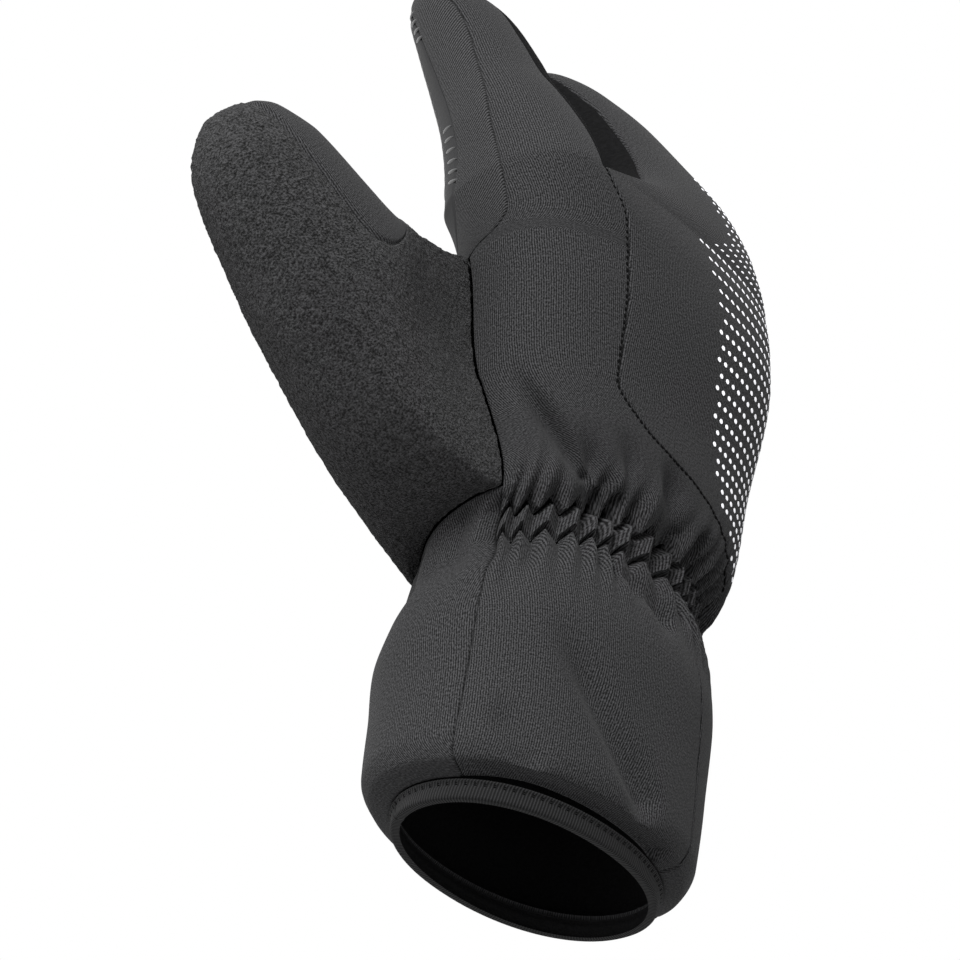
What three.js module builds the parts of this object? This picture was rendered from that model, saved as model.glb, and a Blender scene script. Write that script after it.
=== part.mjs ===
// Right-hand lobster claw mitt: two fingers share the front claw and two the rear claw, the thumb stands off.
// Frame: the gauntlet's mouth lies about the origin, fingers up (+Z), back of the hand +X, thumb side -Y.
// Every panel is a thin closed solid laid along one shared surface, with a seam gap to its neighbours.
// An angle runs round the mitt: 0 is the thumb side, 90 the back, 180 the little-finger side, 270 the palm.
import * as THREE from 'three';
import { mergeVertices } from 'three/addons/utils/BufferGeometryUtils.js';

// Sizes in millimetres
const HAND_WIDTH = 100; // across the knuckles as worn; all tables hold shares of it
const SHELL_WALL = 1.8;
const TERRY_WALL = 2.1;
const GUSSET_WALL = 1.5;
const BINDING_WALL = 1.7;
const SEAM_GAP = 0.3;
const THUMB_SEAM_GAP = 0.5; // the thumb stands off its hole by this
const GUSSET_START = 0.015; // stations past the claw crotch at which the gussets begin
const GUSSET_TUCK = 33; // degrees by which a gusset's edge stops under its neighbours at the claw crotch
const TUCK_HOLD = 0.05; // stations past the crotch over which the tuck stays whole
const TUCK_LENGTH = 0.2; // stations over which it then comes out to nothing
const PLEAT_HEIGHT = 1.5;
const PALM_PLEAT_HEIGHT = 1.3;
const PLEAT_FADE = 14; // the pleats die out over this length above and below the gather
const CALM_ANGLE = 9; // degrees beside the thumb seam over which the relief comes in
const CALM_LENGTH = 0.05; // the same below it, as a share
const STEP = 0.004; // small step for slopes, in stations and quarter turns
const THUMB_STEP = 0.02; // the same along the thumb's centre line
const MOST_DRAWN = 0.45; // share of a grid step that a seam gap may take at most

// Stations along the mitt, as shares of the hand width
const BINDING_TOP = 0.055;
const SHELL_START = 0.06;
const BAND_LOW = 0.785;
const BAND_HIGH = 0.865;
const PALM_BAND_HIGH = 0.93;
const THUMB_CROTCH = 1.70;
const CLAW_CROTCH = 1.90;
const CLAW_END = 2.965;

const HAND_STATIONS = [BAND_HIGH, PALM_BAND_HIGH, 1.0, 1.1, 1.22, 1.36, 1.53, THUMB_CROTCH];

// Seams round the band, in degrees
const THUMB_SIDE_SEAM = 26;
const LITTLE_SIDE_SEAM = 166;
const BACK_PLEATS = 16;
const PALM_PLEATS = 9;

// Cross-sections: where the centre is, how the ring tips (degrees) and its half sizes
const SECTION_COLUMNS = [
  'at', 'forward', 'aside', 'up', 'bend', 'lean', 'thumbward', 'littleward', 'deep', 'square',
];
const BODY_SECTIONS = [
  [0.00, 0.004, 0.00, 0.00, 0, 0, 0.430, 0.430, 0.310, 2.1],
  [0.055, 0.003, 0.00, 0.055, 0, 0, 0.435, 0.435, 0.318, 2.1],
  [0.09, -0.003, 0.00, 0.09, 0, 0, 0.505, 0.500, 0.375, 2.1],
  [0.15, -0.008, 0.00, 0.15, 2, 0, 0.525, 0.525, 0.395, 2.15],
  [0.33, -0.022, 0.00, 0.33, 6, 0, 0.520, 0.530, 0.395, 2.2],
  [0.52, -0.036, 0.00, 0.52, 12, -1, 0.525, 0.530, 0.405, 2.2],
  [0.64, -0.042, 0.00, 0.64, 17, -2, 0.515, 0.515, 0.385, 2.2],
  [0.74, -0.045, 0.00, 0.74, 21, -3, 0.480, 0.480, 0.355, 2.15],
  [0.785, -0.050, -0.01, 0.785, 22, -4, 0.470, 0.455, 0.340, 2.1],
  [0.865, -0.040, -0.01, 0.865, 22, -4, 0.470, 0.455, 0.338, 2.1],
  [0.93, 0.000, -0.01, 0.93, 21, -4, 0.495, 0.485, 0.345, 2.15],
  [1.02, 0.030, -0.01, 1.02, 19, -3, 0.500, 0.500, 0.330, 2.2],
  [1.31, 0.057, -0.04, 1.30, 15, -2, 0.520, 0.520, 0.300, 2.3],
  [1.65, 0.090, -0.10, 1.64, 12, -2, 0.530, 0.580, 0.285, 2.35],
  [1.78, 0.085, -0.25, 1.775, 12, -3, 0.415, 0.732, 0.277, 2.35],
  [1.90, 0.066, -0.48, 1.90, 12, -4, 0.217, 0.970, 0.262, 2.3],
];
const FRONT_CLAW_SECTIONS = [
  [1.90, 0.066, -0.48, 1.90, 12, -4, 0.217, 0.000, 0.262, 2.3],
  [1.96, 0.045, -0.478, 1.956, 13, -4, 0.217, 0.048, 0.252, 2.25],
  [2.04, 0.012, -0.475, 2.030, 15, -5, 0.217, 0.088, 0.235, 2.2],
  [2.14, -0.037, -0.472, 2.124, 18, -5, 0.218, 0.130, 0.210, 2.2],
  [2.24, -0.095, -0.470, 2.217, 22, -4, 0.210, 0.160, 0.188, 2.2],
  [2.36, -0.168, -0.464, 2.320, 26, -4, 0.203, 0.183, 0.167, 2.2],
  [2.52, -0.252, -0.46, 2.456, 30, -3, 0.200, 0.193, 0.152, 2.2],
  [2.71, -0.355, -0.46, 2.616, 35, -3, 0.190, 0.180, 0.132, 2.15],
  [2.84, -0.438, -0.47, 2.716, 40, -3, 0.150, 0.145, 0.100, 2.1],
  [2.92, -0.484, -0.47, 2.768, 42, -3, 0.095, 0.095, 0.065, 2.05],
  [2.955, -0.500, -0.47, 2.79, 42, -3, 0.052, 0.052, 0.038, 2.0],
  [2.97, -0.508, -0.47, 2.80, 42, -3, 0.030, 0.030, 0.026, 2.0],
];
const REAR_CLAW_SECTIONS = [
  [1.90, 0.066, -0.48, 1.90, 12, -4, 0.000, 0.970, 0.262, 2.3],
  [1.96, 0.045, -0.30, 1.962, 13, -4, 0.100, 0.792, 0.254, 2.25],
  [2.04, 0.010, -0.13, 2.040, 15, -4, 0.180, 0.622, 0.242, 2.2],
  [2.14, -0.042, -0.01, 2.137, 18, -5, 0.210, 0.495, 0.228, 2.2],
  [2.24, -0.095, 0.045, 2.235, 22, -5, 0.210, 0.415, 0.207, 2.2],
  [2.36, -0.160, 0.068, 2.345, 28, -4, 0.205, 0.300, 0.178, 2.2],
  [2.52, -0.248, 0.07, 2.478, 34, -4, 0.198, 0.210, 0.150, 2.2],
  [2.70, -0.375, 0.05, 2.610, 40, -5, 0.185, 0.190, 0.135, 2.15],
  [2.83, -0.465, 0.03, 2.706, 44, -5, 0.145, 0.150, 0.104, 2.1],
  [2.91, -0.520, 0.02, 2.764, 46, -5, 0.095, 0.095, 0.068, 2.05],
  [2.955, -0.552, 0.02, 2.795, 46, -5, 0.050, 0.050, 0.038, 2.0],
  [2.97, -0.562, 0.02, 2.805, 46, -5, 0.030, 0.030, 0.026, 2.0],
];

// Seam lines: a station and the angle of the seam there
const CUFF_THUMB_SEAM = [[0.055, 21], [0.785, 26]];
const CUFF_BACK_SEAM = [[0.055, 124], [0.40, 120], [0.64, 112], [0.785, 104.75]];
const CUFF_LITTLE_SEAM = [[0.055, 172], [0.785, 166]];
const BACK_SEAM = [
  [0.865, 148.5], [0.95, 140], [1.02, 124], [1.10, 98], [1.18, 78], [1.30, 66],
  [1.65, 67], [1.70, 69], [1.78, 76], [1.85, 83], [1.90, 90], [2.97, 90],
];
const LITTLE_SEAM = [[0.865, 166], [1.30, 172], [2.12, 176], [2.97, 180]];
const PALM_SEAM = [[0.865, 239.3], [1.30, 242], [1.70, 258], [1.90, 270], [2.97, 270]];
const THUMB_BACK_EDGE = [[0.865, 26], [0.93, 22], [1.10, 12], [1.30, 0], [1.50, -10], [1.70, -16]];
const THUMB_PALM_EDGE = [[0.93, -65.7], [1.15, -80], [1.40, -78], [1.60, -62], [1.70, -44]];
const REAR_CLAW_SEAM = [[1.90, 90], [2.02, 64], [2.20, 46], [2.97, 40]];
const STRIP_BACK_EDGE = [
  [1.70, -16], [1.77, -2], [1.86, 10], [2.00, 14], [2.14, 14], [2.34, 19], [2.60, 24], [2.97, 10],
];
const STRIP_PALM_EDGE = [[1.70, -44], [1.85, -30], [2.12, -20], [2.34, -20], [2.60, -24], [2.97, -34]];

// Thumb: centre line and half sizes, from the hole in the hand to the tip
const THUMB_COLUMNS = ['at', 'forward', 'aside', 'up', 'inward', 'deep'];
const THUMB_SECTIONS = [
  [0.00, -0.090, -0.48, 1.310, 0.330, 0.200],
  [0.12, -0.080, -0.60, 1.280, 0.350, 0.210],
  [0.25, -0.065, -0.775, 1.272, 0.342, 0.220],
  [0.45, -0.060, -1.015, 1.322, 0.302, 0.230],
  [0.65, -0.070, -1.19, 1.415, 0.258, 0.215],
  [0.85, -0.100, -1.385, 1.565, 0.208, 0.175],
  [0.95, -0.112, -1.462, 1.645, 0.138, 0.118],
  [1.00, -0.118, -1.490, 1.680, 0.062, 0.055],
];
const THUMB_BLEND = 0.55; // share of the thumb over which the hole's outline turns into an oval
const THUMB_INNER_SEAM = [[0.00, 45], [0.30, 25], [0.50, 2], [0.65, -10], [1.00, -16]];
const THUMB_PALM_SEAM = [[0.00, 135], [0.50, 115], [1.00, 98]];

// Folds and dents: where each starts and ends (station, angle), its depth and width in millimetres
const FOLD_COLUMNS = ['fromAt', 'fromAngle', 'toAt', 'toAngle', 'depth', 'width'];
const FOLDS = [
  [1.30, 26, 1.02, 62, 2.2, 7],
  [1.08, 40, 0.93, 58, 1.6, 5],
  [1.15, 84, 0.93, 92, 1.8, 6],
  [1.10, 112, 0.93, 116, 1.6, 5],
  [0.56, 58, 0.26, 84, 1.8, 6],
  [0.36, 22, 0.16, 56, 1.6, 6],
  [0.10, -38, 0.18, -14, 1.5, 5],
  [0.72, 84, 0.54, 104, 1.8, 5],
  [1.82, 20, 1.76, 50, 0.8, 8],
  [1.96, 14, 1.89, 60, 0.7, 8],
];

const radians = (degrees) => (degrees * Math.PI) / 180;
const mix = (a, b, t) => a + (b - a) * t;
const smooth = (t) => t * t * (3 - 2 * t);
const clamp01 = (t) => Math.min(Math.max(t, 0), 1);
const signedPower = (value, power) => Math.sign(value) * Math.abs(value) ** power;

function readTable(columns, rows) {
  return rows.map((row) => Object.fromEntries(columns.map((name, i) => [name, row[i]])));
}

// Smooth value of every column at one station
function tableAt(rows, at) {
  const last = rows.length - 1;
  const place = Math.min(Math.max(at, rows[0].at), rows[last].at);
  let i = 0;
  while (i < last - 1 && place > rows[i + 1].at) i += 1;
  const a = rows[i];
  const b = rows[i + 1];
  const span = b.at - a.at;
  const t = (place - a.at) / span;
  const result = { at: place };
  for (const name of Object.keys(a)) {
    if (name === 'at') continue;
    const slope = (b[name] - a[name]) / span;
    const before = i > 0 ? (a[name] - rows[i - 1][name]) / (a.at - rows[i - 1].at) : slope;
    const after = i < last - 1 ? (rows[i + 2][name] - b[name]) / (rows[i + 2].at - b.at) : slope;
    const start = softSlope(before, slope) * span;
    const end = softSlope(slope, after) * span;
    const t2 = t * t;
    const t3 = t2 * t;
    result[name] = (2 * t3 - 3 * t2 + 1) * a[name] + (t3 - 2 * t2 + t) * start
      + (3 * t2 - 2 * t3) * b[name] + (t3 - t2) * end;
  }
  return result;
}

// Tangent between two slopes that never overshoots a turning point
function softSlope(before, after) {
  if (before * after <= 0) return 0;
  return (2 * before * after) / (before + after);
}

function seam(rows) {
  const table = rows.map(([at, angle]) => ({ at, angle }));
  return (at) => tableAt(table, at).angle;
}

// The same seam with straight runs between stations
function straightened(line, stations) {
  return (at) => {
    const next = stations.findIndex((station) => station > at);
    if (next < 1) return line(at);
    const [low, high] = [stations[next - 1], stations[next]];
    return mix(line(low), line(high), (at - low) / (high - low));
  };
}

const BODY = readTable(SECTION_COLUMNS, BODY_SECTIONS);
const CLAWS = {
  front: readTable(SECTION_COLUMNS, FRONT_CLAW_SECTIONS),
  rear: readTable(SECTION_COLUMNS, REAR_CLAW_SECTIONS),
};
const THUMB = readTable(THUMB_COLUMNS, THUMB_SECTIONS);
const FOLD_LIST = readTable(FOLD_COLUMNS, FOLDS);
const thumbBackEdge = straightened(seam(THUMB_BACK_EDGE), HAND_STATIONS);
const thumbPalmEdge = straightened(seam(THUMB_PALM_EDGE), HAND_STATIONS);

// Point of a ring: an oval in the ring's own plane, tipped by bend (towards the palm) and lean
function ringPoint(section, angle) {
  const power = 2 / section.square;
  const c = signedPower(Math.cos(radians(angle)), power);
  const s = signedPower(Math.sin(radians(angle)), power);
  const across = -c * (c > 0 ? section.thumbward : section.littleward) * HAND_WIDTH;
  const out = s * section.deep * HAND_WIDTH;
  const bend = radians(section.bend);
  const lean = radians(section.lean);
  const alongX = -Math.sin(bend);
  const alongZ = Math.cos(bend);
  return new THREE.Vector3(
    section.forward * HAND_WIDTH + out * Math.cos(bend) - across * alongX * Math.sin(lean),
    section.aside * HAND_WIDTH + across * Math.cos(lean),
    section.up * HAND_WIDTH + out * Math.sin(bend) - across * alongZ * Math.sin(lean),
  );
}

// How far the cloth stands out at a place, from pleats and folds. It lies flat along the thumb seam.
function relief(at, angle) {
  return (pleatHeight(at, angle) - foldDepth(at, angle)) * thumbSeamCalm(at, angle);
}

function thumbSeamCalm(at, angle) {
  const signed = angle > 180 ? angle - 360 : angle;
  const past = Math.max(signed - thumbBackEdge(at), thumbPalmEdge(at) - signed) / CALM_ANGLE;
  const below = (PALM_BAND_HIGH - at) / CALM_LENGTH;
  return at > THUMB_CROTCH ? 1 : smooth(clamp01(Math.max(past, below)));
}

function triangleWave(turns) {
  const part = turns - Math.floor(turns);
  return 1 - 4 * Math.abs(part - 0.5);
}

function pleatHeight(at, angle) {
  const around = ((angle % 360) + 360) % 360;
  const onBack = around >= THUMB_SIDE_SEAM && around <= LITTLE_SIDE_SEAM;
  const backSpan = LITTLE_SIDE_SEAM - THUMB_SIDE_SEAM;
  const past = onBack ? around - THUMB_SIDE_SEAM : ((around - LITTLE_SIDE_SEAM) + 360) % 360;
  const turns = onBack ? (past / backSpan) * BACK_PLEATS : (past / (360 - backSpan)) * PALM_PLEATS;
  const height = onBack ? PLEAT_HEIGHT : PALM_PLEAT_HEIGHT;
  const away = Math.max(BAND_LOW - at, at - BAND_HIGH, 0) * HAND_WIDTH;
  return height * triangleWave(turns) * Math.exp(-((away / PLEAT_FADE) ** 2));
}

function foldDepth(at, angle) {
  const around = (HAND_WIDTH * Math.PI) / 4 / 90;
  let depth = 0;
  for (const fold of FOLD_LIST) {
    const alongX = (fold.toAt - fold.fromAt) * HAND_WIDTH;
    const alongY = (fold.toAngle - fold.fromAngle) * around;
    const toX = (at - fold.fromAt) * HAND_WIDTH;
    const toY = (angle - fold.fromAngle) * around;
    const part = clamp01((toX * alongX + toY * alongY) / (alongX * alongX + alongY * alongY));
    const off = Math.hypot(toX - part * alongX, toY - part * alongY);
    depth += fold.depth * Math.exp(-((off / fold.width) ** 2));
  }
  return depth;
}

// Skin of the gauntlet, hand and one claw, before and after its relief
function plainSkin(claw, at, angle) {
  const section = at <= CLAW_CROTCH ? tableAt(BODY, at) : tableAt(CLAWS[claw], at);
  return ringPoint(section, angle);
}

function outwardAt(point, u, v) {
  const du = point(u + STEP, v).sub(point(u - STEP, v));
  const dv = point(u, v + STEP).sub(point(u, v - STEP));
  return du.cross(dv).normalize();
}

function skin(claw) {
  const plain = (at, angle) => plainSkin(claw, at, angle);
  const place = (turn, at) => plain(at, turn * 90);
  const point = (at, angle) => plain(at, angle)
    .addScaledVector(outwardAt(place, angle / 90, at), relief(at, angle));
  return { plain, point };
}

const SKINS = { front: skin('front'), rear: skin('rear') };

// Outline of the thumb hole: 0 at its top, 90 on its palm edge, 180 at its bottom, 270 on its back edge
function thumbHole(turn) {
  const sector = (((turn + 45) % 360) + 360) % 360;
  const part = (sector % 90) / 90;
  const side = Math.floor(sector / 90);
  const low = PALM_BAND_HIGH;
  const high = THUMB_CROTCH;
  const edges = [
    () => [high, mix(thumbBackEdge(high), thumbPalmEdge(high), part)],
    () => [mix(high, low, part), thumbPalmEdge(mix(high, low, part))],
    () => [low, mix(thumbPalmEdge(low), thumbBackEdge(low), part)],
    () => [mix(low, high, part), thumbBackEdge(mix(low, high, part))],
  ];
  const [at, angle] = edges[side]();
  return SKINS.front.plain(at, angle);
}

// Skin of the thumb: the hole's outline carried along the thumb while it turns into an oval
function thumbPoint(at, angle) {
  const section = tableAt(THUMB, at);
  const ahead = tableAt(THUMB, Math.min(at + THUMB_STEP, 1));
  const behind = tableAt(THUMB, Math.max(at - THUMB_STEP, 0));
  const centreOf = (s) => new THREE.Vector3(s.forward, s.aside, s.up).multiplyScalar(HAND_WIDTH);
  const along = centreOf(ahead).sub(centreOf(behind)).normalize();
  const backward = new THREE.Vector3(1, 0, 0).addScaledVector(along, -along.x).normalize();
  const inward = new THREE.Vector3().crossVectors(along, backward).normalize();
  const oval = inward.multiplyScalar(Math.cos(radians(angle)) * section.inward * HAND_WIDTH)
    .addScaledVector(backward, -Math.sin(radians(angle)) * section.deep * HAND_WIDTH);
  const blend = smooth(clamp01(at / THUMB_BLEND));
  const base = thumbHole(angle).sub(centreOf(THUMB[0]));
  return centreOf(section).add(base.lerp(oval, blend));
}

const THUMB_SKIN = { plain: thumbPoint, point: thumbPoint };

// Two grids of points on a surface, the outer face and the inner face of a panel
function panelGrids(patch) {
  const first = patch.stations[0];
  const last = patch.stations[patch.stations.length - 1];
  const place = (turn, at) => patch.skin.plain(at, turn * 90);
  const outer = [];
  const inner = [];
  for (const at of patch.stations) {
    const outerRow = [];
    const innerRow = [];
    for (let c = 0; c <= patch.columns; c += 1) {
      const angle = mix(patch.from(at), patch.to(at), c / patch.columns);
      const outward = outwardAt(place, angle / 90, THREE.MathUtils.clamp(at, first + STEP, last - STEP));
      const point = patch.skin.point(at, angle);
      outerRow.push(point);
      innerRow.push(point.clone().addScaledVector(outward, -patch.wall));
    }
    outer.push(outerRow);
    inner.push(innerRow);
  }
  drawBack(outer, patch);
  drawBack(inner, patch);
  return { outer, inner };
}

// Draw the four edges of a grid back towards its middle, which leaves the seam gaps
function drawBack(grid, patch) {
  const rows = grid.length - 1;
  const columns = grid[0].length - 1;
  const draw = (point, neighbour, amount) => {
    const step = neighbour.clone().sub(point);
    point.addScaledVector(step, Math.min(amount / step.length(), MOST_DRAWN));
  };
  for (let r = 0; r <= rows; r += 1) {
    draw(grid[r][0], grid[r][1], patch.sideGap ?? SEAM_GAP / 2);
    draw(grid[r][columns], grid[r][columns - 1], patch.sideGap ?? SEAM_GAP / 2);
  }
  for (let c = 0; c <= columns; c += 1) {
    draw(grid[0][c], grid[1][c], patch.startGap ?? SEAM_GAP / 2);
    draw(grid[rows][c], grid[rows - 1][c], SEAM_GAP / 2);
  }
}

// A slab whose front face is laid on the outer grid and whose back face is laid on the inner one
function panelGeometry(patch) {
  const rows = patch.stations.length - 1;
  const slab = new THREE.BoxGeometry(1, 1, 1, patch.columns, rows, 1);
  slab.deleteAttribute('normal');
  slab.deleteAttribute('uv');
  const geometry = mergeVertices(slab);
  const grids = panelGrids(patch);
  const positions = geometry.getAttribute('position');
  for (let i = 0; i < positions.count; i += 1) {
    const column = Math.round((positions.getX(i) + 0.5) * patch.columns);
    const row = Math.round((positions.getY(i) + 0.5) * rows);
    const face = positions.getZ(i) > 0 ? grids.outer : grids.inner;
    positions.setXYZ(i, ...face[row][column].toArray());
  }
  geometry.computeVertexNormals();
  return geometry;
}

const CUFF_STATIONS = [SHELL_START, 0.085, 0.13, 0.21, 0.33, 0.45, 0.56, 0.65, 0.73, BAND_LOW];
const CLAW_STATIONS = [1.96, 2.04, 2.14, 2.27, 2.44, 2.63, 2.79, 2.88, 2.94, CLAW_END];
const WHOLE_STATIONS = [...HAND_STATIONS, 1.77, 1.84, CLAW_CROTCH, ...CLAW_STATIONS];
const PALM_STATIONS = [PALM_BAND_HIGH, ...WHOLE_STATIONS.slice(2)];
const STRIP_STATIONS = [THUMB_CROTCH, 1.77, 1.84, CLAW_CROTCH, ...CLAW_STATIONS];
const GUSSET_STATIONS = [CLAW_CROTCH + GUSSET_START, ...CLAW_STATIONS];
const THUMB_STATIONS = [0, 0.12, 0.25, 0.38, 0.52, 0.66, 0.79, 0.89, 0.95, 0.99];

const turned = (line) => (at) => line(at) + 360;
const level = (angle) => () => angle;
const cuffThumbSeam = seam(CUFF_THUMB_SEAM);
const cuffBackSeam = seam(CUFF_BACK_SEAM);
const cuffLittleSeam = seam(CUFF_LITTLE_SEAM);
const backSeam = seam(BACK_SEAM);
const littleSeam = seam(LITTLE_SEAM);
const palmSeam = seam(PALM_SEAM);
const rearClawSeam = seam(REAR_CLAW_SEAM);
const stripBackEdge = seam(STRIP_BACK_EDGE);
const stripPalmEdge = seam(STRIP_PALM_EDGE);
const rearSeam = (at) => (at <= CLAW_CROTCH ? backSeam(at) : rearClawSeam(at));
const indexEdge = (at) => (at <= THUMB_CROTCH ? thumbBackEdge(at) : stripBackEdge(at));
const palmEdge = (at) => 360 + (at <= THUMB_CROTCH ? thumbPalmEdge(at) : stripPalmEdge(at));
const thumbInnerSeam = seam(THUMB_INNER_SEAM);
const thumbPalmSeam = seam(THUMB_PALM_SEAM);
const gussetTuck = (at) => GUSSET_TUCK * (1 - smooth(clamp01((at - CLAW_CROTCH - TUCK_HOLD) / TUCK_LENGTH)));

const shell = new THREE.MeshStandardMaterial({ color: 0x26272a, roughness: 0.9 });
const palmCloth = new THREE.MeshStandardMaterial({ color: 0x222224, roughness: 0.8 });
const terry = new THREE.MeshStandardMaterial({ color: 0x1b1c1e, roughness: 1 });
const knit = new THREE.MeshStandardMaterial({ color: 0x2c2c2f, roughness: 0.95 });

const PANELS = [
  { name: 'hem_binding', material: knit, skin: SKINS.front, wall: BINDING_WALL, columns: 48,
    stations: [0, 0.03, BINDING_TOP], from: level(0), to: level(360) },
  { name: 'cuff_back', material: shell, skin: SKINS.front, wall: SHELL_WALL, columns: 18,
    stations: CUFF_STATIONS, from: cuffThumbSeam, to: cuffBackSeam },
  { name: 'cuff_side', material: shell, skin: SKINS.front, wall: SHELL_WALL, columns: 14,
    stations: CUFF_STATIONS, from: cuffBackSeam, to: cuffLittleSeam },
  { name: 'cuff_palm', material: shell, skin: SKINS.front, wall: SHELL_WALL, columns: 18,
    stations: CUFF_STATIONS, from: cuffLittleSeam, to: turned(cuffThumbSeam) },
  { name: 'wrist_gather_back', material: shell, skin: SKINS.front, wall: SHELL_WALL, columns: 32,
    stations: [BAND_LOW, 0.825, BAND_HIGH], from: thumbBackEdge, to: littleSeam },
  { name: 'wrist_gather_palm', material: shell, skin: SKINS.front, wall: SHELL_WALL, columns: 36,
    stations: [BAND_LOW, 0.825, BAND_HIGH, PALM_BAND_HIGH], from: littleSeam, to: turned(thumbBackEdge) },
  { name: 'index_side_panel', material: shell, skin: SKINS.front, wall: SHELL_WALL, columns: 28,
    stations: WHOLE_STATIONS, from: indexEdge, to: backSeam },
  { name: 'back_panel', material: shell, skin: SKINS.rear, wall: SHELL_WALL, columns: 12,
    stations: WHOLE_STATIONS, from: rearSeam, to: littleSeam, sideGap: SEAM_GAP },
  { name: 'heel_panel', material: palmCloth, skin: SKINS.rear, wall: SHELL_WALL, columns: 12,
    stations: PALM_STATIONS, from: littleSeam, to: palmSeam },
  { name: 'palm_panel', material: palmCloth, skin: SKINS.front, wall: SHELL_WALL, columns: 9,
    stations: PALM_STATIONS, from: palmSeam, to: palmEdge },
  { name: 'forefinger_strip', material: shell, skin: SKINS.front, wall: SHELL_WALL, columns: 4,
    stations: STRIP_STATIONS, from: stripPalmEdge, to: stripBackEdge },
  { name: 'front_claw_gusset', material: terry, skin: SKINS.front, wall: GUSSET_WALL, columns: 10,
    stations: GUSSET_STATIONS, from: (at) => 90 + gussetTuck(at), to: (at) => 270 - gussetTuck(at) },
  { name: 'rear_claw_gusset', material: terry, skin: SKINS.rear, wall: GUSSET_WALL, columns: 10,
    stations: GUSSET_STATIONS, from: (at) => gussetTuck(at) - 90,
    to: (at) => rearClawSeam(at) - gussetTuck(at) },
  { name: 'thumb_outer', material: terry, skin: THUMB_SKIN, wall: TERRY_WALL, columns: 18,
    stations: THUMB_STATIONS, from: thumbPalmSeam, to: turned(thumbInnerSeam), startGap: THUMB_SEAM_GAP,
    sideGap: THUMB_SEAM_GAP },
  { name: 'thumb_inner', material: shell, skin: THUMB_SKIN, wall: TERRY_WALL, columns: 10,
    stations: THUMB_STATIONS, from: thumbInnerSeam, to: thumbPalmSeam, startGap: THUMB_SEAM_GAP,
    sideGap: THUMB_SEAM_GAP },
];

const mitt = new THREE.Group();
mitt.name = 'lobster_claw_mitt';
for (const patch of PANELS) {
  const mesh = new THREE.Mesh(panelGeometry(patch), patch.material);
  mesh.name = patch.name;
  mitt.add(mesh);
}

export default mitt;
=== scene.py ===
"""Right-hand lobster claw mitt: the cloth, its seams and its trim, laid over the mitt's CAD solids.

Every panel lies on the same skin as its solid. The skin is a table of oval cross-sections along the
mitt, read as smooth curves. A station ("at") is a share of the hand's width, and an angle runs round
the mitt in degrees: 0 thumb side, 90 back of the hand, 180 little-finger side, 270 palm.
"""
import math
from typing import Callable, NamedTuple

import bpy
import numpy as np
from mathutils import Matrix, Vector, noise


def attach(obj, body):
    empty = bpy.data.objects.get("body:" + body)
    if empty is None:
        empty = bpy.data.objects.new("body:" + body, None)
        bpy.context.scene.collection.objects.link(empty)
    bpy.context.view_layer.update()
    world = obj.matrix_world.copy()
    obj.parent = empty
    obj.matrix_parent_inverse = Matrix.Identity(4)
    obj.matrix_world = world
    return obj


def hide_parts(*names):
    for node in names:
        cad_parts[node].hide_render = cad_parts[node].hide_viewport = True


bl_info = {
    "name": "Lobster Claw Mitt",
    "version": (1, 0, 0),
    "blender": (4, 5, 0),
    "location": "View3D > Sidebar > Mitt",
    "description": "Makes the cloth, seams and trim of a lobster claw mitt, and its studio",
    "category": "Object",
}

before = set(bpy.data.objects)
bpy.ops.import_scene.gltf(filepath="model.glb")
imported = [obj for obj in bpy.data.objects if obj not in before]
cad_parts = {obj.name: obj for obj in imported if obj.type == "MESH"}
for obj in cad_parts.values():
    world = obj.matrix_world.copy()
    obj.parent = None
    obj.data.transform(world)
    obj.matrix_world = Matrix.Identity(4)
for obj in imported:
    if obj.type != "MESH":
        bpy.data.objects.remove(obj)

# Sizes in metres. The tables hold shares of the hand's width.
MM = 0.001
HAND_WIDTH = 0.100
QUARTER = 90.0
# Steps in station over which slopes are measured, and a number too small to matter
STEP = 0.004
THUMB_STEP = 0.02
TINY = 1e-12
# Samples by which runs are measured: along a panel, across it, along a seam and along a row of dots
PANEL_SAMPLES = 600
WIDTH_SAMPLES = 361
SEAM_SAMPLES = 400
ROW_SAMPLES = 200

# Stations along the mitt
BINDING_TOP = 0.058
SHELL_START = BINDING_TOP
HEM_STITCHES = 0.044
BAND_LOW = 0.785
BAND_HIGH = 0.865
PALM_BAND_HIGH = 0.93
THUMB_CROTCH = 1.70
CLAW_CROTCH = 1.90
GUSSET_START = CLAW_CROTCH + 0.002
CLAW_TIP = 2.978
THUMB_END = 1.0

# Where the two sides of the wrist gather meet, in degrees, and how many pleats each has
THUMB_SIDE_SEAM = 26
LITTLE_SIDE_SEAM = 166
BACK_PLEATS = 16
PALM_PLEATS = 9
# The pleats crowd and spread a few times round each side, by this share of a pleat
CROWDINGS = 3
CROWDING = 0.22
# The cloth lies flat beside the thumb's seam, over this angle and this share of the hand's width
CALM_ANGLE = 9
CALM_LENGTH = 0.05

SECTION_COLUMNS = (
    "at", "forward", "aside", "up", "bend", "lean", "thumbward", "littleward", "deep", "square",
)
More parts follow.
